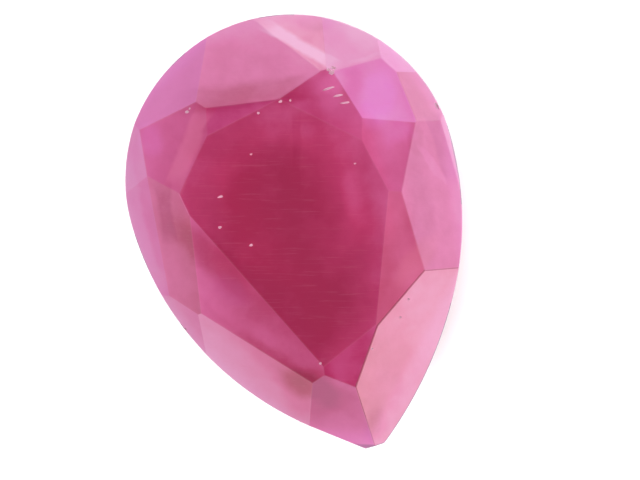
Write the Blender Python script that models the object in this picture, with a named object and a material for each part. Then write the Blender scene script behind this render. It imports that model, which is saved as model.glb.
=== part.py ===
"""A pear-cut ruby, 13.7 mm long, lying on one of the shallow facets of its back.

The stone is cut the way a lapidary cuts it. A rough of pear outline is made first, as deep as
the stone, and each facet then takes off what lies outside its plane. In the stone's own frame
+Z is out of the table, +Y runs from the tip to the round head, and the girdle's upper edge is
at Z = 0 with the head's centre on the axis.
"""

from math import asin, cos, pi, radians, sin, tan

import bmesh
import bpy
from mathutils import Matrix, Vector

MM = 0.001

# Outline, in millimetres, with each flank arc's turn in degrees. The left flank ends in a
# straight run to the tip, and the fuller right one in an arc of larger radius.
HEAD_RADIUS = 5.1
FLANK_RADIUS = 9.55
LEFT_TURN = 51.0
RIGHT_TURN = 26.5
RIGHT_TIP_RADIUS = 12.4
TIP_REACH = 8.6
ARC_STEP = 0.28

# Heights over the girdle's upper edge, in millimetres.
TABLE_HEIGHT = 1.4
GIRDLE_THICKNESS = 0.42
ROUGH_DEPTH = 4.9

# The facet that the stone lies on, and how far from the keel it reaches.
REST_ANGLE = 17.0
KEEL_DEPTH = 4.25

# Crown facets: azimuth round the stone and angle from the girdle in degrees, and how far from
# the head's centre the facet would meet the girdle's upper edge, in millimetres. Azimuth 0 is
# the stone's right side, 90 is the head.
CROWN = (
    (89.0, 27.0, 5.20),
    (79.5, 30.5, 5.145),
    (53.0, 33.0, 5.26),
    (30.5, 43.0, 5.16),
    (28.6, 24.0, 5.746),
    (18.5, 38.0, 5.18),
    (-4.7, 52.0, 5.09),
    (-9.0, 34.0, 5.20),
    (-44.6, 38.7, 6.17),
    (-108.0, 31.5, 8.12),
    (-146.0, 37.0, 5.92),
    (-158.0, 46.0, 5.46),
    (-175.0, 41.2, 5.15),
    (162.0, 47.0, 5.28),
    (117.6, 37.4, 5.145),
)
# Facets between the crown facets and the table, which they meet along its edges.
STARS = (
    (101.0, 11.5, 9.20),
    (47.5, 10.5, 9.57),
    (11.5, 19.0, 6.53),
    (-21.5, 16.5, 7.72),
    (-67.5, 13.5, 10.90),
    (-154.7, 20.0, 6.872),
    (-171.0, 32.9, 5.41),
    (138.0, 21.0, 6.50),
)
# Back facets, in two steps that follow the outline.
BACK_UPPER_AZIMUTHS = (90, 52, 18, -14, -36, -52, -129, -146, -166, 162, 128)
BACK_UPPER_ANGLE = 60.0
BACK_LOWER = (
    (90, 43.0),
    (42, 41.0),
    (0, 40.0),
    (-36, 39.0),
    (-144, 40.0),
    (180, 41.0),
    (138, 42.0),
)
BACK_LOWER_INSET = 0.8
OUTLINE_INSET = 0.04

RUBY_COLOUR = (0.46, 0.035, 0.12, 1.0)


def clear_scene():
    """Remove every object of the open file."""
    for item in list(bpy.data.objects):
        bpy.data.objects.remove(item, do_unlink=True)


def ruby_material():
    """Return the stone's material, a polished red glassy finish."""
    material = bpy.data.materials.new("ruby_crystal")
    material.use_nodes = True
    shader = material.node_tree.nodes["Principled BSDF"]
    shader.inputs["Base Color"].default_value = RUBY_COLOUR
    shader.inputs["Roughness"].default_value = 0.12
    shader.inputs["Metallic"].default_value = 0.0
    shader.inputs["IOR"].default_value = 1.77
    shader.inputs["Transmission Weight"].default_value = 0.8
    return material


def arc(centre, radius, start, end):
    """Return points along an arc in the girdle's plane, with the last one left out."""
    steps = max(2, round(abs(end - start) * radius / ARC_STEP))
    points = []
    for step in range(steps):
        angle = start + (end - start) * step / steps
        x = centre[0] + radius * cos(angle)
        y = centre[1] + radius * sin(angle)
        points.append((x, y))
    return points


def flank_end(turn):
    """Return where a flank arc ends, as the distance from the axis and the Y."""
    across = FLANK_RADIUS * cos(turn) - (FLANK_RADIUS - HEAD_RADIUS)
    return across, -FLANK_RADIUS * sin(turn)


def left_flank():
    """Return the left flank down to the tip: an arc, and a straight run along its tangent."""
    turn = radians(LEFT_TURN)
    across, along = flank_end(turn)
    corner = across - (along + TIP_REACH) * tan(turn)
    flank = arc((FLANK_RADIUS - HEAD_RADIUS, 0.0), FLANK_RADIUS, pi, pi + turn)
    return flank + [(-across, along), (-corner, -TIP_REACH)]


def right_flank():
    """Return the right flank from the tip up: the tip's arc, and the flank arc it runs into."""
    turn = radians(RIGHT_TURN)
    across, along = flank_end(turn)
    centre_x = across - RIGHT_TIP_RADIUS * cos(turn)
    centre_y = along + RIGHT_TIP_RADIUS * sin(turn)
    tip_turn = asin((centre_y + TIP_REACH) / RIGHT_TIP_RADIUS)
    tip = arc((centre_x, centre_y), RIGHT_TIP_RADIUS, -tip_turn, -turn)
    return tip + arc((HEAD_RADIUS - FLANK_RADIUS, 0.0), FLANK_RADIUS, -turn, 0.0)


def pear_outline():
    """Return the girdle's outline: a half circle for the head, and the two flanks."""
    return arc((0.0, 0.0), HEAD_RADIUS, 0.0, pi) + left_flank() + right_flank()


def rough():
    """Return the rough as a bmesh: the outline drawn up from the keel to the table."""
    mesh = bmesh.new()
    floor = [mesh.verts.new((x, y, -ROUGH_DEPTH)) for x, y in pear_outline()]
    base = mesh.faces.new(floor)
    drawn = bmesh.ops.extrude_face_region(mesh, geom=[base])
    top = [item for item in drawn["geom"] if isinstance(item, bmesh.types.BMVert)]
    rise = Vector((0.0, 0.0, ROUGH_DEPTH + TABLE_HEIGHT))
    bmesh.ops.translate(mesh, verts=top, vec=rise)
    bmesh.ops.recalc_face_normals(mesh, faces=mesh.faces)
    return mesh


def cut(mesh, point, normal):
    """Take off what lies outside the plane, and close the cut with one flat facet."""
    everything = mesh.verts[:] + mesh.edges[:] + mesh.faces[:]
    done = bmesh.ops.bisect_plane(
        mesh, geom=everything, dist=0.0005, plane_co=point, plane_no=normal, clear_outer=True
    )
    rim = [item for item in done["geom_cut"] if isinstance(item, bmesh.types.BMEdge)]
    bmesh.ops.contextual_create(mesh, geom=rim)


def facet(mesh, azimuth, angle, reach, height, side):
    """Cut one facet. Its side is 1 on the crown and -1 on the back."""
    turn = radians(azimuth)
    slope = radians(angle)
    across = Vector((cos(turn), sin(turn), 0.0))
    normal = across * sin(slope) + Vector((0.0, 0.0, side * cos(slope)))
    cut(mesh, across * reach + Vector((0.0, 0.0, height)), normal)


def support(azimuth):
    """Return how far the outline reaches from the head's centre in one direction."""
    turn = radians(azimuth)
    return max(x * cos(turn) + y * sin(turn) for x, y in pear_outline())


def cut_crown(mesh):
    """Cut the facets round the table."""
    for azimuth, angle, reach in CROWN + STARS:
        facet(mesh, azimuth, angle, reach, 0.0, 1)


def cut_back(mesh):
    """Cut the two steps of the back, and the two shallow facets that meet at the keel."""
    girdle = -GIRDLE_THICKNESS
    drop = BACK_LOWER_INSET * tan(radians(BACK_UPPER_ANGLE))
    for azimuth in BACK_UPPER_AZIMUTHS:
        facet(mesh, azimuth, BACK_UPPER_ANGLE, support(azimuth) - OUTLINE_INSET, girdle, -1)
    for azimuth, angle in BACK_LOWER:
        inset = support(azimuth) - BACK_LOWER_INSET
        facet(mesh, azimuth, angle, inset, girdle - drop, -1)
    for azimuth in (0, 180):
        facet(mesh, azimuth, REST_ANGLE, 0.0, -KEEL_DEPTH, -1)


def stone_mesh():
    """Return the finished stone as mesh data in metres."""
    mesh = rough()
    cut_crown(mesh)
    cut_back(mesh)
    bmesh.ops.scale(mesh, vec=(MM, MM, MM), verts=mesh.verts)
    bmesh.ops.recalc_face_normals(mesh, faces=mesh.faces)
    data = bpy.data.meshes.new("ruby")
    mesh.to_mesh(data)
    mesh.free()
    return data


def lay_down(stone):
    """Turn the stone on to its shallow right back facet, on the ground and centred there."""
    turn = Matrix.Rotation(radians(REST_ANGLE), 4, "Y")
    places = [turn @ vertex.co for vertex in stone.data.vertices]
    low = [min(place[axis] for place in places) for axis in range(3)]
    high = [max(place[axis] for place in places) for axis in range(3)]
    stone.rotation_euler = (0.0, radians(REST_ANGLE), 0.0)
    stone.location = (-(low[0] + high[0]) / 2, -(low[1] + high[1]) / 2, -low[2])


def main():
    """Build the stone and lay it down."""
    clear_scene()
    stone = bpy.data.objects.new("ruby", stone_mesh())
    stone.data.materials.append(ruby_material())
    bpy.context.scene.collection.objects.link(stone)
    lay_down(stone)
    bpy.context.view_layer.update()


main()
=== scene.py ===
"""A pear-cut ruby lying on pale paper, seen square to its table.

The stone's own frame has +Z out of the table, +Y from the tip to the round head, and the
head's centre at the height of the girdle's upper edge as its origin. Sizes in that frame are
in millimetres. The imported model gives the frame's place in the scene.
"""

import logging
from dataclasses import dataclass, field
from enum import Enum
from math import cos, radians, sin, tau

import bmesh
import bpy
import numpy as np
from mathutils import Matrix, Vector
from mathutils.bvhtree import BVHTree


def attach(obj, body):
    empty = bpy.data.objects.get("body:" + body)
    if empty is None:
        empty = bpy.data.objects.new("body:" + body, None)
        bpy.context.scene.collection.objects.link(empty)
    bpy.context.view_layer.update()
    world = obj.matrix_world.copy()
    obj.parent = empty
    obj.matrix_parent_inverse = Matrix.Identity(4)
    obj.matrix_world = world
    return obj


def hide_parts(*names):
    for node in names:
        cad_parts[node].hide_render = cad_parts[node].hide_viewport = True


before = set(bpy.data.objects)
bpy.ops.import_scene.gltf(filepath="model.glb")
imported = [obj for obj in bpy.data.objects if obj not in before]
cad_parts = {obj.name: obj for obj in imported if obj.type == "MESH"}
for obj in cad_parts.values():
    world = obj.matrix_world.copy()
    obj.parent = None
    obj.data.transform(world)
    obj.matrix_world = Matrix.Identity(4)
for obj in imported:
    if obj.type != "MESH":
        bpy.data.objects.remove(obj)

LOG = logging.getLogger("ruby")
MM = 0.001
PHOTO_WIDTH = 640
PHOTO_HEIGHT = 480

Point = tuple[float, float, float]
Colour = tuple[float, float, float]
Socket = bpy.types.NodeSocket


class Surface(Enum):
    """What a face of the stone is, as the material's slots tell it while the mesh is made."""

    FACET = 0
    EDGE = 1
    CHIP = 2


@dataclass(frozen=True)
class StoneFrame:
    """Where the stone's own frame stands in the scene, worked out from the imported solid."""

    node: str = "ruby"
    tilt: float = radians(17.0)
    head_radius: float = 5.1
    table_height: float = 1.4

    def turn(self) -> Matrix:
        """Return the turn from the stone's frame to the scene, about the stone's long axis."""
        return Matrix.Rotation(self.tilt, 4, "Y")

    def origin(self) -> Vector:
        """Return the frame's origin in the scene, in metres.

        The solid is turned back by the tilt. Its middle in X, its head less the head's radius
        in Y, and its top less the table's height in Z are then the origin.

        Returns:
            The origin.
        """
        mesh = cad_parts[self.node].data
        places = np.empty(len(mesh.vertices) * 3)
        mesh.vertices.foreach_get("co", places)
        back = np.array(self.turn().to_3x3())
        own = places.reshape(-1, 3) @ back
        middle = (own[:, 0].min() + own[:, 0].max()) / 2
        head = own[:, 1].max() - self.head_radius * MM
        girdle = own[:, 2].max() - self.table_height * MM
        return Vector(back @ np.array([middle, head, girdle]))

    def to_scene(self) -> Matrix:
        """Return the matrix from the stone's millimetres to the scene's metres."""
        return Matrix.Translation(self.origin()) @ self.turn() @ Matrix.Scale(MM, 4)


class Nodes:
    """A short way to write a node tree."""

    def __init__(self, tree: bpy.types.NodeTree) -> None:
        """Keep the tree, with every node in it removed.

        Args:
            tree: The node tree of a material or a world.
        """
        self.tree = tree
        tree.nodes.clear()

    def add(self, kind: str, **settings: object) -> bpy.types.Node:
        """Add a node.

        Args:
            kind: The node's type name, without the leading "ShaderNode".
            settings: Properties of the node.

        Returns:
            The new node.
        """
        node = self.tree.nodes.new("ShaderNode" + kind)
        for name, value in settings.items():
            setattr(node, name, value)
        return node

    def feed(self, socket: Socket, source: object) -> None:
        """Link a socket to another one, or set it to a plain value.

        Args:
            socket: The input to fill.
            source: A socket, a number, a vector or a colour.
        """
        if isinstance(source, Socket):
            self.tree.links.new(source, socket)
        elif isinstance(source, tuple) and len(source) == 3 and socket.type == "RGBA":
            socket.default_value = (*source, 1.0)
        else:
            socket.default_value = source

    def attribute(self, name: str) -> Socket:
        """Return the value that the piece's own mesh holds under a name."""
        return self.add("Attribute", attribute_name=name).outputs["Fac"]

    def math(self, operation: str, *values: object, clamp: bool = False) -> Socket:
        """Do a sum with a Math node.

        Args:
            operation: What the node does.
            values: Up to three sockets or numbers.
            clamp: Whether the result is kept between 0 and 1.

        Returns:
            The result.
        """
        node = self.add("Math", operation=operation, use_clamp=clamp)
        for socket, value in zip(node.inputs, values):
            self.feed(socket, value)
        return node.outputs[0]

    def mix(self, share: object, first: object, second: object) -> Socket:
        """Mix two colours.

        Args:
            share: The second colour's share, from 0 to 1.
            first: The first colour.
            second: The second colour.

        Returns:
            The mixed colour.
        """
        node = self.add("Mix", data_type="RGBA")
        self.feed(node.inputs["Factor"], share)
        self.feed(node.inputs["A"], first)
        self.feed(node.inputs["B"], second)
        return node.outputs["Result"]

    def ramp(
        self, value: object, low: float, high: float, start: float = 0.0, end: float = 1.0
    ) -> Socket:
        """Step smoothly from start to end as a value goes from low to high.

        Args:
            value: The value that the step follows.
            low: Where the step begins.
            high: Where the step ends.
            start: The result below low.
            end: The result above high.

        Returns:
            The stepped value.
        """
        node = self.add("MapRange", interpolation_type="SMOOTHSTEP")
        names = ("Value", "From Min", "From Max", "To Min", "To Max")
        for name, source in zip(names, (value, low, high, start, end)):
            self.feed(node.inputs[name], source)
        return node.outputs["Result"]

    def noise(self, place: object, scale: float, detail: float = 2.0, rough: float = 0.5) -> Socket:
        """Read a noise texture.

        Args:
            place: Where it is read.
            scale: How fine it is.
            detail: How many finer layers lie over it.
            rough: How strong the finer layers are.

        Returns:
            The noise, about 0.5 on average.
        """
        node = self.add("TexNoise")
        self.feed(node.inputs["Vector"], place)
        node.inputs["Scale"].default_value = scale
        node.inputs["Detail"].default_value = detail
        node.inputs["Roughness"].default_value = rough
        return node.outputs[0]

    def stretched(self, place: object, turn: Point, scale: Point) -> Socket:
        """Turn a place and then scale it.

        Args:
            place: The place.
            turn: The turn about each axis, in degrees.
            scale: The scale along each axis.

        Returns:
            The new place.
        """
        turned = self.add("Mapping", vector_type="POINT")
        self.feed(turned.inputs["Vector"], place)
        turned.inputs["Rotation"].default_value = [radians(angle) for angle in turn]
        scaled = self.add("VectorMath", operation="MULTIPLY")
        self.feed(scaled.inputs[0], turned.outputs[0])
        scaled.inputs[1].default_value = scale
        return scaled.outputs[0]

    def facing(self, direction: object, toward: Vector) -> Socket:
        """Find how far one direction points the way of another, as their dot product.

        Args:
            direction: The socket that gives the first direction.
            toward: The second direction.

        Returns:
            The dot product, from -1 to 1 for unit directions.
        """
        dot = self.add("VectorMath", operation="DOT_PRODUCT")
        self.feed(dot.inputs[0], direction)
        dot.inputs[1].default_value = toward
        return dot.outputs["Value"]


class Form(Enum):
    """The form of a glimpse: a four-sided panel or an oval."""

    PANEL = "panel"
    OVAL = "oval"


@dataclass(frozen=True)
class Glimpse:
    """A soft painted patch in the milky body. The glimpses paint back facets seen through the body and
    sheens as light and shade, along with some colour zoning.

    Its centre, half length and half width are in millimetres in the stone's frame, its turn in
    degrees. It paints the colour paler or deeper, and more violet or, below zero, warmer.
    """

    form: Form
    x: float
    y: float
    long: float
    wide: float
    turn: float
    pale: float
    violet: float = 0.0
    soft: float = 0.25


@dataclass(frozen=True)
class FacetPaintedLight:
    """Painted light and shade on one facet: how much paler or deeper and how violet its colour is
    painted, and the way that facet faces.

    Its line is how much of the painted dark outline shows along it at the girdle's height.
    """

    azimuth: float
    slope: float
    pale: float
    violet: float = 0.0
    line: float = 0.5

    def normal(self) -> Point:
        """Return the facet's unit normal in the stone's frame."""
        around, down = radians(self.azimuth), radians(self.slope)
        return sin(down) * cos(around), sin(down) * sin(around), cos(down)


@dataclass(frozen=True)
class RubyFinish:
    """Milky ruby: see-through by transmission, IOR and absorption, under a polished skin."""

    stone: StoneFrame
    name: str = "milky_ruby"
    # From the deep core to the pale rim: partly colour zoning, partly painted shade of the thick
    # middle and painted light of the thin rim.
    core: Colour = (0.415, 0.010, 0.082)
    flesh: Colour = (0.565, 0.030, 0.150)
    flesh_at: float = 0.4
    rim: Colour = (0.86, 0.15, 0.42)
    # Painted highlight colour, for where the painted paleness passes one.
    painted_highlight: Colour = (1.0, 0.42, 0.74)
    violet: Colour = (0.96, 0.20, 0.76)
    warm: Colour = (0.84, 0.19, 0.26)
    silk: Colour = (0.86, 0.17, 0.40)
    bruise: Colour = (1.0, 0.60, 0.76)
    # Painted dark outline along the girdle.
    painted_outline: Colour = (0.20, 0.07, 0.20)
    index: float = 1.77
    transmission: float = 0.60
    skin_gloss: float = 0.8
    skin_roughness: float = 0.045
    haze: float = 0.295
    absorption: Colour = (0.84, 0.30, 0.56)
    density: float = 560.0
    haze_spread: float = 0.012
    skin_index: float = 1.6
    bruise_roughness: float = 0.6
    core_centre: Point = (-0.7, -2.4, 1.0)
    core_squash: Point = (1.0, 0.5, 0.4)
    core_radii: tuple[float, float] = (0.9, 4.2)
    core_lift: float = 0.75
    # Painted light through the thin edge near the girdle's height.
    thin_reach: tuple[float, float] = (0.05, 0.42)
    painted_rim_light: float = 0.25
    painted_rim_violet: float = 0.18
    line_reach: tuple[float, float] = (0.015, 0.05)
    cloud: float = 0.09
    silk_turn: float = 16.2
    silk_share: float = 0.18
    polish_turn: float = 16.0
    polish_relief: float = 0.35
    peel_relief: float = 1.4
    bruise_relief: float = 1.6
    relief_strength: float = 0.35
    relief_depth: float = 0.02
    # Painted reflections and shade of the back facets, painted sheens and some colour zoning.
    glimpses: tuple[Glimpse, ...] = (
        Glimpse(Form.PANEL, 3.50, 0.75, 0.42, 0.50, 8.0, 0.14, 0.22, 0.5),
        Glimpse(Form.OVAL, 2.62, 2.28, 0.60, 0.32, 60.0, -0.16, -0.10, 0.5),
        Glimpse(Form.OVAL, 4.30, -0.75, 0.70, 0.13, -70.0, 0.14, 0.05),
        Glimpse(Form.PANEL, 4.72, -0.40, 1.00, 0.20, -88.0, -0.28, 0.15),
        Glimpse(Form.OVAL, 3.46, -2.13, 1.75, 0.42, 79.0, -0.20, 0.05, 0.4),
        Glimpse(Form.OVAL, 4.00, 0.10, 0.50, 0.25, 80.0, -0.18),
        Glimpse(Form.OVAL, 2.96, -3.50, 0.90, 0.35, 35.0, 0.15, -0.20, 0.5),
        Glimpse(Form.OVAL, 2.80, -4.70, 0.70, 0.50, 60.0, 0.09, 0.0, 0.5),
        Glimpse(Form.OVAL, 0.98, -7.02, 0.80, 0.50, 60.0, -0.10, 0.10, 0.5),
        Glimpse(Form.OVAL, -0.18, -5.40, 0.90, 0.50, 60.0, 0.14, 0.0, 0.6),
        Glimpse(Form.PANEL, -1.13, -6.30, 1.50, 0.30, -40.0, -0.28, 0.0, 0.7),
        Glimpse(Form.OVAL, -1.25, -6.45, 0.85, 0.75, -46.0, -0.30, 0.0, 0.4),
        Glimpse(Form.OVAL, -1.65, -6.05, 0.60, 0.30, -40.0, -0.25, 0.0, 0.5),
        Glimpse(Form.OVAL, -0.10, -4.00, 1.00, 0.70, 70.0, -0.08, 0.0, 0.5),
        Glimpse(Form.PANEL, -2.47, -4.65, 2.00, 0.28, -49.8, -0.18, 0.0, 0.6),
        Glimpse(Form.PANEL, -1.86, -4.57, 1.00, 0.22, -45.0, 0.10, 0.0, 0.6),
        Glimpse(Form.PANEL, 1.28, -1.02, 2.60, 0.55, 73.8, 0.08, 0.0, 0.4),
        Glimpse(Form.PANEL, 0.43, 0.83, 1.00, 0.12, 73.8, -0.10, 0.0, 0.4),
        Glimpse(Form.OVAL, -1.64, -0.33, 1.10, 0.45, 74.0, -0.12, 0.0, 0.5),
        Glimpse(Form.OVAL, -0.23, 1.73, 1.20, 0.50, -10.0, 0.18, 0.0, 0.6),
        Glimpse(Form.OVAL, 2.11, 2.43, 0.50, 0.30, -10.0, 0.20, 0.0, 0.4),
        Glimpse(Form.OVAL, 3.26, 1.65, 0.85, 0.50, 60.0, 0.04, 0.45, 0.4),
        Glimpse(Form.PANEL, -2.73, 1.75, 1.15, 0.26, 52.0, 0.25, -0.25, 0.4),
        Glimpse(Form.PANEL, -3.95, 0.05, 0.75, 0.22, -98.0, -0.35, 0.10, 0.4),
        Glimpse(Form.OVAL, -3.00, -1.60, 1.40, 0.42, -60.0, -0.34, 0.0, 0.5),
        Glimpse(Form.OVAL, -3.77, 2.37, 0.50, 0.35, -98.0, 0.10, 0.20, 0.5),
        Glimpse(Form.OVAL, 0.38, -7.97, 0.50, 0.32, 60.0, -0.30, 0.20, 0.5),
        Glimpse(Form.OVAL, -2.69, -2.75, 0.60, 0.35, -50.0, -0.12, 0.1, 0.5),
        Glimpse(Form.PANEL, -4.92, 0.30, 1.60, 0.30, -93.4, 0.25, 0.12, 0.3),
        Glimpse(Form.OVAL, -4.77, -1.73, 0.50, 0.25, -60.0, 0.20, 0.0, 0.5),
        Glimpse(Form.PANEL, -0.56, 2.86, 1.60, 0.32, -9.0, -0.34, 0.0, 0.6),
        Glimpse(Form.OVAL, 3.30, 3.53, 0.60, 0.30, -45.0, 0.30, 0.0, 0.5),
        Glimpse(Form.PANEL, 3.25, 2.92, 0.50, 0.05, 0.8, 0.25, 0.0, 0.6),
        # A painted highlight: the pale streak near the head.
        Glimpse(Form.PANEL, 1.42, 3.87, 1.05, 0.17, -47.0, 1.10, 0.0, 0.5),
        Glimpse(Form.PANEL, 2.10, 3.55, 0.40, 0.16, -60.0, 0.12, 0.0, 0.4),
        Glimpse(Form.OVAL, 1.20, 4.42, 0.60, 0.22, -18.0, 0.18, 0.0, 0.4),
        Glimpse(Form.OVAL, 2.07, 4.46, 0.60, 0.30, -10.0, -0.25, 0.1, 0.5),
    )

    def place(self, nodes: Nodes) -> Socket:
        """Find the shaded point in the stone's frame.

        Args:
            nodes: The material's nodes.

        Returns:
            The point, in millimetres.
        """
        coordinates = nodes.add("TexCoord")
        mapping = nodes.add("Mapping", vector_type="TEXTURE")
        nodes.feed(mapping.inputs["Vector"], coordinates.outputs["Object"])
        mapping.inputs["Location"].default_value = self.stone.origin()
        mapping.inputs["Rotation"].default_value = (0.0, self.stone.tilt, 0.0)
        mapping.inputs["Scale"].default_value = (MM, MM, MM)
        return mapping.outputs[0]

    def near(
        self, nodes: Nodes, place: object, centre: Point, inner: float, outer: float
    ) -> Socket:
        """Find how near a place is to a point.

        Args:
            nodes: The material's nodes.
            place: The place.
            centre: The point.
            inner: The distance within which the result is 1.
            outer: The distance at which it has fallen to 0.

        Returns:
            The nearness, from 0 to 1.
        """
        gap = nodes.add("VectorMath", operation="DISTANCE")
        nodes.feed(gap.inputs[0], place)
        gap.inputs[1].default_value = centre
        return nodes.ramp(gap.outputs["Value"], inner, outer, 1.0, 0.0)

    def off_girdle(self, nodes: Nodes, place: object) -> Socket:
        """Find how far above or below the girdle's upper edge a place is.

        Args:
            nodes: The material's nodes.
            place: The place.

        Returns:
            The height without its sign, in millimetres.
        """
        parts = nodes.add("SeparateXYZ")
        nodes.feed(parts.inputs[0], place)
        return nodes.math("ABSOLUTE", parts.outputs[2])

    def wandered(self, nodes: Nodes, place: object, scale: float, reach: float) -> Socket:
        """Move a place along a noise of its own.

        Args:
            nodes: The material's nodes.
            place: The place.
            scale: How fine the noise is.
            reach: Twice the longest way that the place moves along each axis.

        Returns:
            The moved place.
        """
        cloudy = nodes.add("TexNoise")
        nodes.feed(cloudy.inputs["Vector"], place)
        cloudy.inputs["Scale"].default_value = scale
        centred = nodes.add("VectorMath", operation="SUBTRACT")
        nodes.feed(centred.inputs[0], cloudy.outputs["Color"])
        centred.inputs[1].default_value = (0.5, 0.5, 0.5)
        moved = nodes.add("VectorMath", operation="MULTIPLY_ADD")
        nodes.feed(moved.inputs[0], centred.outputs[0])
        moved.inputs[1].default_value = (reach, reach, reach)
        nodes.feed(moved.inputs[2], place)
        return moved.outputs[0]

    def glimpse_shape(self, nodes: Nodes, place: object, glimpse: Glimpse) -> Socket:
        """Draw a glimpse with a soft border.

        A panel is where the larger of the two distances along its own axes, each over its half
        side, is under one. An oval takes the length of the two instead.

        Args:
            nodes: The material's nodes.
            place: The place.
            glimpse: The glimpse.

        Returns:
            1 inside the glimpse and 0 outside.
        """
        own = nodes.add("Mapping", vector_type="TEXTURE")
        nodes.feed(own.inputs["Vector"], place)
        own.inputs["Location"].default_value = (glimpse.x, glimpse.y, 0.0)
        own.inputs["Rotation"].default_value = (0.0, 0.0, radians(glimpse.turn))
        own.inputs["Scale"].default_value = (glimpse.long, glimpse.wide, 50.0)
        if glimpse.form is Form.OVAL:
            size = nodes.add("VectorMath", operation="LENGTH")
            nodes.feed(size.inputs[0], own.outputs[0])
            reach = size.outputs["Value"]
        else:
            whole = nodes.add("VectorMath", operation="ABSOLUTE")
            nodes.feed(whole.inputs[0], own.outputs[0])
            parts = nodes.add("SeparateXYZ")
            nodes.feed(parts.inputs[0], whole.outputs[0])
            reach = nodes.math("MAXIMUM", parts.outputs[0], parts.outputs[1])
        return nodes.ramp(reach, 1.0 - glimpse.soft, 1.0 + glimpse.soft, 1.0, 0.0)

    def tones(self, nodes: Nodes, place: object) -> tuple[Socket, Socket]:
        """Find how pale and how violet the colour is painted.

        Each is the facet's painted light and shade, with the painted patch of every glimpse and the
        painted light through the thin edge at the girdle added to it. The colour is paler away from
        the core, partly colour zoning and partly painted shade of the thick middle, and a little
        cloudy.

        Args:
            nodes: The material's nodes.
            place: The shaded point.

        Returns:
            The pale share and the violet share.
        """
        # Paler away from the core: partly colour zoning, partly painted shade of the thick middle.
        loose = self.wandered(nodes, place, 0.55, 1.3)
        flat = nodes.stretched(loose, (0.0, 0.0, 0.0), self.core_squash)
        centre = tuple(side * share for side, share in zip(self.core_centre, self.core_squash))
        away = nodes.math("SUBTRACT", 1.0, self.near(nodes, flat, centre, *self.core_radii))
        pale = nodes.math("ADD", nodes.attribute("pale"), nodes.math("MULTIPLY", away, self.core_lift))
        violet = nodes.attribute("violet")
        ragged = self.wandered(nodes, place, 1.6, 0.25)
        for glimpse in self.glimpses:
            shape = self.glimpse_shape(nodes, ragged, glimpse)
            pale = nodes.math("MULTIPLY_ADD", shape, glimpse.pale, pale)
            if glimpse.violet:
                violet = nodes.math("MULTIPLY_ADD", shape, glimpse.violet, violet)
        # Painted light through the thin edge at the girdle: paler and more violet there.
        thin = nodes.ramp(self.off_girdle(nodes, place), *self.thin_reach, 1.0, 0.0)
        pale = nodes.math("MULTIPLY_ADD", thin, self.painted_rim_light, pale)
        violet = nodes.math("MULTIPLY_ADD", thin, self.painted_rim_violet, violet)
        cloud = nodes.ramp(nodes.noise(place, 1.1, 4.0, 0.62), 0.3, 0.7, -self.cloud, self.cloud)
        return nodes.math("ADD", pale, cloud), violet

    def colour(self, nodes: Nodes, place: object) -> Socket:
        """Colour the body: deep core and paler rim, partly colour zoning and partly painted shade of
        the thick middle and painted light of the thin rim; painted light and shade, violet and warm
        shares, painted highlight; silk streaks.

        Args:
            nodes: The material's nodes.
            place: The shaded point.

        Returns:
            The body colour.
        """
        pale, violet = self.tones(nodes, place)
        inner = nodes.math("DIVIDE", pale, self.flesh_at, clamp=True)
        body = nodes.mix(inner, self.core, self.flesh)
        above = nodes.math("SUBTRACT", pale, self.flesh_at)
        outer = nodes.math("DIVIDE", above, 1.0 - self.flesh_at, clamp=True)
        body = nodes.mix(outer, body, self.rim)
        body = nodes.mix(nodes.math("ADD", violet, 0.0, clamp=True), body, self.violet)
        body = nodes.mix(nodes.math("MULTIPLY", violet, -1.0, clamp=True), body, self.warm)
        # Painted highlight where the paleness passes one.
        body = nodes.mix(nodes.math("SUBTRACT", pale, 1.0, clamp=True), body, self.painted_highlight)
        drawn = nodes.stretched(place, (0.0, 0.0, self.silk_turn), (0.7, 14.0, 4.0))
        silk = nodes.ramp(nodes.noise(drawn, 1.3, 3.0, 0.7), 0.54, 0.78)
        return nodes.mix(nodes.math("MULTIPLY", silk, self.silk_share), body, self.silk)

    def painted_outline_mask(self, nodes: Nodes, place: object) -> Socket:
        """Find how much painted dark outline the surface takes, from the piece's attributes and the
        height.

        Args:
            nodes: The material's nodes.
            place: The shaded point.

        Returns:
            The larger of the face's own share and of its line's close to the girdle's edge.
        """
        close = nodes.ramp(self.off_girdle(nodes, place), *self.line_reach, 1.0, 0.0)
        line = nodes.math("MULTIPLY", close, nodes.attribute("line"))
        return nodes.math("MAXIMUM", nodes.attribute("painted_outline"), line)

    def relief(self, nodes: Nodes, place: object) -> Socket:
        """Give the surface fine polishing lines, a slight orange peel and rough bruises.

        Args:
            nodes: The material's nodes.
            place: The shaded point.

        Returns:
            The normal.
        """
        drawn = nodes.stretched(place, (0.0, 0.0, self.polish_turn), (0.7, 30.0, 6.0))
        lines = nodes.math("MULTIPLY", nodes.noise(drawn, 1.5, 3.0, 0.6), self.polish_relief)
        peel = nodes.noise(place, 2.2, 2.0, 0.5)
        height = nodes.math("MULTIPLY_ADD", peel, self.peel_relief, lines)
        rough = nodes.math("MULTIPLY", nodes.noise(place, 26.0, 4.0, 0.7), nodes.attribute("worn"))
        height = nodes.math("ADD", height, nodes.math("MULTIPLY", rough, self.bruise_relief))
        bump = nodes.add("Bump")
        bump.inputs["Strength"].default_value = self.relief_strength
        bump.inputs["Distance"].default_value = self.relief_depth * MM
        nodes.feed(bump.inputs["Height"], height)
        return bump.outputs["Normal"]

    def dullness(self, nodes: Nodes, place: object) -> Socket:
        """Find how rough the skin is: a faint haze, and more on what is bruised.

        Args:
            nodes: The material's nodes.
            place: The shaded point.

        Returns:
            The roughness.
        """
        least, most = self.haze - self.haze_spread, self.haze + self.haze_spread
        haze = nodes.ramp(nodes.noise(place, 0.9, 3.0), 0.3, 0.7, least, most)
        bruised = nodes.math("MULTIPLY", nodes.attribute("worn"), self.bruise_roughness)
        return nodes.math("MAXIMUM", haze, bruised)

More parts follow.
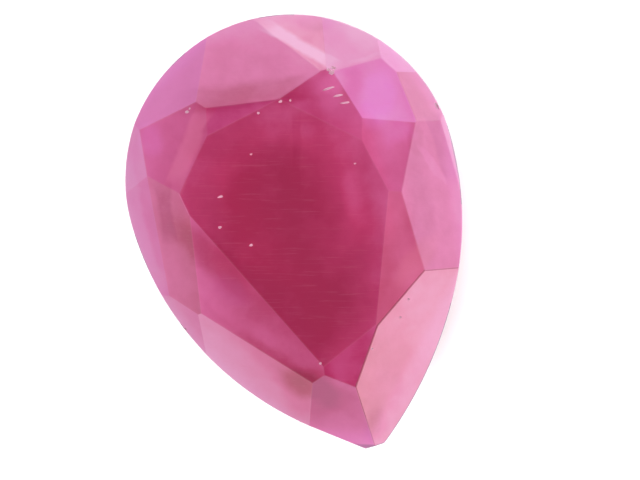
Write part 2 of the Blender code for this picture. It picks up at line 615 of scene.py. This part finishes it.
    def material(self) -> bpy.types.Material:
        """Make the material.

        Returns:
            The finished material.
        """
        made = bpy.data.materials.new(self.name)
        made.use_nodes = True
        nodes = Nodes(made.node_tree)
        place = self.place(nodes)
        worn = nodes.attribute("worn")
        shader = nodes.add("BsdfPrincipled")
        body = nodes.mix(worn, self.colour(nodes, place), self.bruise)
        # The painted dark outline along the girdle is mixed over the body colour.
        nodes.feed(shader.inputs["Base Color"], nodes.mix(self.painted_outline_mask(nodes, place), body, self.painted_outline))
        nodes.feed(shader.inputs["Roughness"], self.dullness(nodes, place))
        nodes.feed(shader.inputs["Normal"], self.relief(nodes, place))
        shader.inputs["IOR"].default_value = self.index
        shader.inputs["Transmission Weight"].default_value = self.transmission
        gloss = nodes.math("MULTIPLY_ADD", worn, -self.skin_gloss, self.skin_gloss)
        nodes.feed(shader.inputs["Coat Weight"], gloss)
        shader.inputs["Coat Roughness"].default_value = self.skin_roughness
        shader.inputs["Coat IOR"].default_value = self.skin_index
        volume = nodes.add("VolumeAbsorption")
        volume.inputs["Color"].default_value = (*self.absorption, 1.0)
        volume.inputs["Density"].default_value = self.density
        output = nodes.add("OutputMaterial")
        nodes.feed(output.inputs["Surface"], shader.outputs["BSDF"])
        nodes.feed(output.inputs["Volume"], volume.outputs["Volume"])
        return made


@dataclass(frozen=True)
class PaperFinish:
    """Matt white paper with a faint grain."""

    name: str = "white_paper"
    light: Colour = (0.92, 0.92, 0.925)
    dark: Colour = (0.88, 0.88, 0.885)
    roughness: float = 0.9

    def material(self) -> bpy.types.Material:
        """Make the material.

        Returns:
            The finished material.
        """
        made = bpy.data.materials.new(self.name)
        made.use_nodes = True
        nodes = Nodes(made.node_tree)
        place = nodes.add("TexCoord").outputs["Object"]
        grain = nodes.noise(place, 900.0, 3.0)
        shader = nodes.add("BsdfPrincipled")
        nodes.feed(shader.inputs["Base Color"], nodes.mix(grain, self.dark, self.light))
        shader.inputs["Roughness"].default_value = self.roughness
        output = nodes.add("OutputMaterial")
        nodes.feed(output.inputs["Surface"], shader.outputs["BSDF"])
        return made


@dataclass(frozen=True)
class Nick:
    """One small break in the surface: where it is on the stone, and how large it is."""

    x: float
    y: float
    size: Point
    turn: float = 0.0
    sink: float = 0.35


def face_vectors(data: bpy.types.Mesh, name: str) -> np.ndarray:
    """Read a vector of each face.

    Args:
        data: The mesh.
        name: The vector's name, normal or center.

    Returns:
        One row for each face.
    """
    values = np.empty(len(data.polygons) * 3)
    data.polygons.foreach_get(name, values)
    return values.reshape(-1, 3)


def write_faces(data: bpy.types.Mesh, name: str, values: np.ndarray) -> None:
    """Write one value for each face into an attribute of the mesh.

    Args:
        data: The mesh.
        name: The attribute's name.
        values: The values, in the order of the faces.
    """
    layer = data.attributes.new(name, "FLOAT", "FACE")
    layer.data.foreach_set("value", values.astype(np.float32))


@dataclass
class Stone:
    """The cut stone, with worn edges, chips and pits.

    The first chips break the table's upper right corner, and three long ones are the scratches
    below it. A face whose normal rises less than the upright limit counts as the girdle's.
    """

    placed: StoneFrame
    finish: RubyFinish
    edge_width: float = 0.03
    shortest_edge: float = 0.05
    edge_angle: float = radians(4.5)
    edge_steps: int = 2
    rings: int = 10
    sides: int = 18
    chip_wear: float = 0.9
    edge_wear: float = 0.03
    girdle_painted_outline: float = 0.8
    girdle_band: tuple[float, float] = (-0.5, 0.05)
    upright: float = 0.03
    chips: tuple[Nick, ...] = (
        Nick(2.12, 2.78, (0.11, 0.07, 0.06), 20.0, 0.45),
        Nick(2.20, 2.90, (0.08, 0.06, 0.05), -30.0, 0.45),
        Nick(2.04, 2.88, (0.05, 0.07, 0.05), 60.0, 0.45),
        Nick(1.92, 2.33, (0.42, 0.036, 0.028), 3.0),
        Nick(2.13, 2.04, (0.27, 0.036, 0.024), -2.0),
        Nick(2.27, 1.77, (0.20, 0.034, 0.022), -6.0),
        Nick(0.36, 2.35, (0.06, 0.04, 0.025), 10.0),
        Nick(0.66, 2.30, (0.040, 0.035, 0.025), 50.0),
        Nick(-2.47, 2.86, (0.09, 0.05, 0.03), -20.0),
        Nick(-2.36, 2.93, (0.04, 0.03, 0.02), 10.0),
        Nick(-4.42, -3.55, (0.12, 0.05, 0.10), 70.0),
        Nick(4.95, 0.95, (0.05, 0.12, 0.08), 0.0),
        Nick(2.44, -4.52, (0.09, 0.03, 0.03), -50.0),
        Nick(2.05, -4.98, (0.07, 0.03, 0.03), -42.0),
        Nick(0.95, -5.65, (0.06, 0.03, 0.03), -60.0),
    )
    pits: tuple[Nick, ...] = (
        Nick(-2.20, 0.08, (0.085, 0.035, 0.03)),
        Nick(-2.47, -0.81, (0.060, 0.045, 0.03)),
        Nick(-1.71, -1.59, (0.055, 0.040, 0.03)),
        Nick(-0.70, -5.63, (0.050, 0.04, 0.03)),
        Nick(-0.38, 2.20, (0.045, 0.04, 0.03)),
        Nick(-0.94, 1.06, (0.045, 0.03, 0.02)),
        Nick(2.01, -0.09, (0.04, 0.025, 0.02)),
    )
    # Painted light and shade on each facet, set into its colour.
    tones: tuple[FacetPaintedLight, ...] = (
        # The table, and the facets next to it.
        FacetPaintedLight(0.0, 0.0, 0.0),
        FacetPaintedLight(101.0, 11.5, 0.14, 0.06),
        FacetPaintedLight(47.5, 10.5, 0.09),
        FacetPaintedLight(11.5, 19.0, 0.13),
        FacetPaintedLight(-21.5, 16.5, 0.12, -0.25),
        FacetPaintedLight(-67.5, 13.5, 0.20),
        FacetPaintedLight(-154.7, 20.0, 0.48),
        FacetPaintedLight(-171.0, 32.9, 0.17),
        FacetPaintedLight(138.0, 21.0, 0.18, 0.05),
        # The other crown facets, from the head round by the right, the tip and the left.
        FacetPaintedLight(89.0, 27.0, 0.34, 0.10),
        FacetPaintedLight(79.5, 30.5, 0.25),
        FacetPaintedLight(53.0, 33.0, 0.68, 0.30),
        FacetPaintedLight(30.5, 43.0, 0.45, 0.60),
        FacetPaintedLight(28.6, 24.0, 0.40, 0.45),
        FacetPaintedLight(18.5, 38.0, 0.14, 0.12),
        FacetPaintedLight(-4.7, 52.0, 0.22, 0.30),
        FacetPaintedLight(-9.0, 34.0, 0.15, 0.12),
        # A painted reflection on the lower right facet.
        FacetPaintedLight(-44.6, 38.7, 0.45, -0.35, 0.0),
        FacetPaintedLight(-108.0, 31.5, 0.31, 0.16),
        # A painted reflection on the lower left facet.
        FacetPaintedLight(-146.0, 37.0, 0.98, -0.15),
        FacetPaintedLight(-158.0, 46.0, 0.50, 0.10),
        FacetPaintedLight(-175.0, 41.2, 0.25, 0.25),
        FacetPaintedLight(162.0, 47.0, 0.42, 0.42),
        FacetPaintedLight(117.6, 37.4, 0.13, 0.45),
        # Painted dark lines along the borders of the lower right facet, whose rounded edges face these
        # ways.
        FacetPaintedLight(-47.1, 32.3, -0.40, 0.0, 0.0),
        FacetPaintedLight(-56.7, 19.4, -0.55, 0.0, 0.0),
        FacetPaintedLight(-41.6, 32.9, -0.40, 0.0, 0.0),
        FacetPaintedLight(-31.3, 21.6, -0.60, 0.0, 0.0),
    )
    # Painted shade: the faces that face down are deeper and more violet.
    back_painted_shade: FacetPaintedLight = FacetPaintedLight(0.0, 180.0, -0.15, 0.08, 0.0)
    piece: bpy.types.Object = field(init=False)

    def copy_facets(self) -> bpy.types.Object:
        """Copy the solid into the stone's frame, with one face for each facet.

        Returns:
            The copy, with a slot for each kind of surface.
        """
        mesh = bmesh.new()
        mesh.from_mesh(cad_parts[self.placed.node].data)
        mesh.transform(self.placed.to_scene().inverted())
        bmesh.ops.remove_doubles(mesh, verts=mesh.verts, dist=self.shortest_edge)
        bmesh.ops.dissolve_limit(mesh, angle_limit=radians(0.4), verts=mesh.verts, edges=mesh.edges)
        bmesh.ops.recalc_face_normals(mesh, faces=mesh.faces)
        data = bpy.data.meshes.new("stone")
        mesh.to_mesh(data)
        mesh.free()
        stone = bpy.data.objects.new("stone", data)
        bpy.context.scene.collection.objects.link(stone)
        for kind in Surface:
            data.materials.append(bpy.data.materials.new(kind.name.lower()))
        return stone

    def surface_point(self, tree: BVHTree, x: float, y: float) -> Vector:
        """Find the point of the crown over a place on the girdle's plane.

        Args:
            tree: The stone's surface.
            x: The place's distance to the right of the axis.
            y: The place's distance towards the head.

        Returns:
            The point, or the surface's nearest one where the place is off the stone.
        """
        hit = tree.ray_cast(Vector((x, y, 5.0)), Vector((0.0, 0.0, -1.0)))[0]
        if hit is None:
            hit = tree.find_nearest(Vector((x, y, 0.0)))[0]
        return hit

    def scoops(self, tree: BVHTree, seed: int = 11) -> tuple[np.ndarray, np.ndarray]:
        """Return the points and faces of every scoop that a chip or a pit takes out.

        Each scoop is an ellipsoid over two parameters, the angle round it and the angle from
        its pole. Its radius is one plus three low waves of those angles with seeded phases, so
        its wall has the shallow ridges of a broken crystal.

        Args:
            tree: The stone's surface, for the height at each place.
            seed: The seed of the waves' phases.

        Returns:
            An array of points and an array of quads, one block for each scoop.
        """
        phases = np.random.default_rng(seed)
        around = np.linspace(0.0, tau, self.sides, endpoint=False)
        down = np.linspace(0.02, np.pi - 0.02, self.rings)
        turn, pole = np.meshgrid(around, down)
        column = np.arange(self.sides)
        row = np.arange(self.rings - 1)[:, None] * self.sides
        quads = np.stack(
            [row + column, row + self.sides + column, row + self.sides + (column + 1) % self.sides,
             row + (column + 1) % self.sides], axis=-1
        ).reshape(-1, 4)
        points = []
        faces = []
        for index, nick in enumerate(self.chips + self.pits):
            first, second, third = phases.uniform(0.0, tau, 3)
            radius = 1.0 + 0.10 * np.sin(3 * turn + first) * np.sin(pole)
            radius = radius + 0.07 * np.sin(5 * turn + second + 2 * pole)
            radius = radius + 0.05 * np.sin(4 * pole + third)
            own = np.stack(
                [radius * np.sin(pole) * np.cos(turn), radius * np.sin(pole) * np.sin(turn),
                 radius * np.cos(pole)], axis=-1
            ).reshape(-1, 3) * np.array(nick.size)
            spin = np.array(Matrix.Rotation(radians(nick.turn), 3, "Z"))
            top = np.array(self.surface_point(tree, nick.x, nick.y))
            centre = top + np.array([0.0, 0.0, nick.size[2] * (1.0 - 2 * nick.sink)])
            points.append(own @ spin.T + centre)
            faces.append(quads + index * len(own))
        return np.concatenate(points), np.concatenate(faces)

    def scoop_object(self, tree: BVHTree) -> bpy.types.Object:
        """Make one object of every scoop, its poles closed.

        Args:
            tree: The stone's surface.

        Returns:
            The object.
        """
        points, faces = self.scoops(tree)
        data = bpy.data.meshes.new("scoops")
        data.from_pydata(points.tolist(), [], faces.tolist())
        mesh = bmesh.new()
        mesh.from_mesh(data)
        bmesh.ops.holes_fill(mesh, edges=mesh.edges, sides=self.sides)
        bmesh.ops.recalc_face_normals(mesh, faces=mesh.faces)
        mesh.to_mesh(data)
        mesh.free()
        for kind in Surface:
            data.materials.append(bpy.data.materials.new("scoop_" + kind.name.lower()))
        marks = np.full(len(data.polygons), Surface.CHIP.value, dtype=np.int32)
        data.polygons.foreach_set("material_index", marks)
        scoop = bpy.data.objects.new("scoops", data)
        bpy.context.scene.collection.objects.link(scoop)
        return scoop

    def finished_mesh(self, stone: bpy.types.Object, scoop: bpy.types.Object) -> bpy.types.Mesh:
        """Round the stone's edges and take the scoops out.

        Args:
            stone: The copy of the solid.
            scoop: The scoops.

        Returns:
            The finished mesh, whose slots tell the kinds of surface apart.
        """
        bevel = stone.modifiers.new("edges", "BEVEL")
        bevel.width = self.edge_width
        bevel.segments = self.edge_steps
        bevel.limit_method = "ANGLE"
        bevel.angle_limit = self.edge_angle
        bevel.material = Surface.EDGE.value
        bevel.use_clamp_overlap = False
        take = stone.modifiers.new("chips", "BOOLEAN")
        take.operation = "DIFFERENCE"
        take.solver = "EXACT"
        take.use_self = True
        take.object = scoop
        take.material_mode = "INDEX"
        graph = bpy.context.evaluated_depsgraph_get()
        return bpy.data.meshes.new_from_object(stone.evaluated_get(graph))

    def mark_wear(self, data: bpy.types.Mesh) -> None:
        """Write how bruised each face is, and how much painted dark outline it takes.

        Chips are bruised most, worn edges less. The girdle, whose faces are upright, and its upper
        edge take the painted dark outline.

        Args:
            data: The finished mesh, in the stone's frame, with a slot index for each kind.
        """
        count = len(data.polygons)
        kinds = np.empty(count, dtype=np.int32)
        data.polygons.foreach_get("material_index", kinds)
        rise = np.abs(face_vectors(data, "normal")[:, 2])
        height = face_vectors(data, "center")[:, 2]
        lowest, highest = self.girdle_band
        edge = kinds == Surface.EDGE.value
        chip = kinds == Surface.CHIP.value
        at_girdle = (height < highest) & (height > lowest)
        wear = np.where(chip, self.chip_wear, np.where(edge, self.edge_wear, 0.0))
        # Painted dark outline on the girdle's faces and its upper edge.
        painted_outline = np.where((rise < self.upright) | (edge & at_girdle), self.girdle_painted_outline, 0.0)
        write_faces(data, "worn", wear)
        write_faces(data, "painted_outline", painted_outline)
        data.polygons.foreach_set("material_index", np.zeros(count, dtype=np.int32))

    def mark_painted_light(self, data: bpy.types.Mesh) -> None:
        """Write the painted light and shade, the violet share and the painted outline share of each
        face.

        A face takes the values of the facet whose normal makes the largest dot product with its own,
        or the back's painted shade if it faces down.

        Args:
            data: The finished mesh, in the stone's frame.
        """
        normals = face_vectors(data, "normal")
        ways = np.array([tone.normal() for tone in self.tones])
        closest = np.argmax(normals @ ways.T, axis=1)
        down = normals[:, 2] < -self.upright
        for name in ("pale", "violet", "line"):
            crown = np.array([getattr(tone, name) for tone in self.tones])[closest]
            write_faces(data, name, np.where(down, getattr(self.back_painted_shade, name), crown))

    def build(self) -> None:
        """Build the piece and dress it."""
        stone = self.copy_facets()
        graph = bpy.context.evaluated_depsgraph_get()
        tree = BVHTree.FromObject(stone, graph)
        scoop = self.scoop_object(tree)
        data = self.finished_mesh(stone, scoop)
        self.mark_wear(data)
        self.mark_painted_light(data)
        data.materials.clear()
        data.transform(self.placed.to_scene())
        data.materials.append(self.finish.material())
        data.name = "cut_ruby"
        self.piece = bpy.data.objects.new("cut_ruby", data)
        bpy.context.scene.collection.objects.link(self.piece)
        for helper in (stone, scoop):
            bpy.data.objects.remove(helper, do_unlink=True)
        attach(self.piece, "root")
        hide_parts(self.placed.node)


@dataclass(frozen=True)
class Lamp:
    """One soft lamp: its direction from the stone in degrees, its distance and its power.

    A lamp that isn't mirrored lights the body of the stone and the paper but leaves no glare on
    the facets, as a lamp behind crossed polarising sheets does.
    """

    name: str
    azimuth: float
    angle: float
    power: float
    size: float = 0.40
    distance: float = 0.60
    mirrored: bool = False


@dataclass
class Studio:
    """The paper, the lights and the camera.

    One pixel of the photograph is a fixed length on the stone, in millimetres, and the head's
    centre has its own pixel there. The stone's long axis leans in the picture.
    """

    placed: StoneFrame
    paper: PaperFinish
    paper_side: float = 1.2
    lens: float = 180.0
    sensor: float = 36.0
    pixel: float = 0.0308
    lean: float = radians(16.2)
    head_pixel: tuple[float, float] = (291.0, 180.0)
    sky: float = 1.1
    shade: float = 0.05
    bright_azimuth: float = -5.0
    bright_share: float = 0.22
    shade_inner: float = radians(30.0)
    shade_outer: float = radians(66.0)
    lamp_target: float = 3.0
    clip: tuple[float, float] = (0.005, 5.0)
    lamps: tuple[Lamp, ...] = (
        Lamp("top_lamp", 0.0, 0.0, 4.0, 0.50, 0.70),
        Lamp("right_lamp", -40.0, 55.0, 2.4),
        Lamp("far_lamp", 80.0, 55.0, 1.6),
        Lamp("left_lamp", -160.0, 50.0, 2.1),
        Lamp("far_panel", 79.5, 61.0, 0.05, 0.12, 0.60, True),
    )

    def axes(self) -> tuple[Vector, Vector, Vector]:
        """Find the picture's directions in the scene.

        Returns:
            Its right, its up and its back, which is out of the table.
        """
        turn = self.placed.turn().to_3x3()
        across = turn @ Vector((1.0, 0.0, 0.0))
        along = turn @ Vector((0.0, 1.0, 0.0))
        right = across * cos(self.lean) - along * sin(self.lean)
        up = across * sin(self.lean) + along * cos(self.lean)
        return right, up, right.cross(up)

    def add_paper(self) -> None:
        """Lay the paper under the stone."""
        half = self.paper_side / 2
        corners = ((-half, -half), (half, -half), (half, half), (-half, half))
        data = bpy.data.meshes.new("paper")
        data.from_pydata([(x, y, 0.0) for x, y in corners], [], [(0, 1, 2, 3)])
        data.materials.append(self.paper.material())
        sheet = bpy.data.objects.new("paper", data)
        bpy.context.scene.collection.objects.link(sheet)

    def add_sky(self) -> None:
        """Light the scene from all round.

        The light fades from the sky's level to the shade's towards the camera, and it is a
        little stronger on the bright side.
        """
        world = bpy.data.worlds.new("soft_box")
        bpy.context.scene.world = world
        world.use_nodes = True
        nodes = Nodes(world.node_tree)
        place = nodes.add("TexCoord").outputs["Generated"]
        toward = nodes.facing(place, self.axes()[2])
        edge, middle = cos(self.shade_outer), cos(self.shade_inner)
        level = nodes.ramp(toward, edge, middle, self.sky, self.shade)
        around = radians(self.bright_azimuth)
        side = self.placed.turn().to_3x3() @ Vector((cos(around), sin(around), 0.0))
        lean = nodes.math("MULTIPLY_ADD", nodes.facing(place, side), self.bright_share, 1.0)
        background = nodes.add("Background")
        nodes.feed(background.inputs["Strength"], nodes.math("MULTIPLY", level, lean))
        output = nodes.add("OutputWorld")
        nodes.feed(output.inputs["Surface"], background.outputs[0])

    def add_lamps(self) -> None:
        """Hang each soft lamp at its place round the table, facing the stone."""
        turn = self.placed.turn().to_3x3()
        middle = Vector((0.0, 0.0, self.lamp_target * MM))
        for lamp in self.lamps:
            around, down = radians(lamp.azimuth), radians(lamp.angle)
            toward = turn @ Vector((sin(down) * cos(around), sin(down) * sin(around), cos(down)))
            data = bpy.data.lights.new(lamp.name, "AREA")
            data.shape = "DISK"
            data.size = lamp.size
            data.energy = lamp.power
            item = bpy.data.objects.new(lamp.name, data)
            bpy.context.scene.collection.objects.link(item)
            item.location = middle + toward * lamp.distance
            item.rotation_mode = "QUATERNION"
            item.rotation_quaternion = toward.to_track_quat("Z", "Y")
            item.visible_glossy = lamp.mirrored
            item.visible_transmission = lamp.mirrored

    def add_camera(self) -> None:
        """Set the camera square to the table, with the head's centre at its pixel."""
        right, up, back = self.axes()
        head_x, head_y = self.head_pixel
        target = self.placed.origin()
        target = target + right * ((PHOTO_WIDTH / 2 - head_x) * self.pixel * MM)
        target = target + up * ((head_y - PHOTO_HEIGHT / 2) * self.pixel * MM)
        distance = PHOTO_WIDTH * self.pixel * MM * self.lens / self.sensor
        data = bpy.data.cameras.new("camera")
        data.lens = self.lens
        data.sensor_width = self.sensor
        data.clip_start, data.clip_end = self.clip
        camera = bpy.data.objects.new("camera", data)
        bpy.context.scene.collection.objects.link(camera)
        turn = Matrix((right, up, back)).transposed().to_4x4()
        camera.matrix_world = Matrix.Translation(target + back * distance) @ turn
        bpy.context.scene.camera = camera

    def build(self) -> None:
        """Set the studio up."""
        self.add_paper()
        self.add_sky()
        self.add_lamps()
        self.add_camera()
        bpy.context.scene.view_settings.view_transform = "Standard"


def main() -> None:
    """Build the stone and the studio."""
    logging.basicConfig(level=logging.INFO, format="%(name)s: %(message)s")
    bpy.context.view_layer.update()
    placed = StoneFrame()
    stone = Stone(placed, RubyFinish(placed))
    stone.build()
    LOG.info("%s: %d faces", stone.piece.name, len(stone.piece.data.polygons))
    Studio(placed, PaperFinish()).build()


if __name__ == "__main__":
    main()
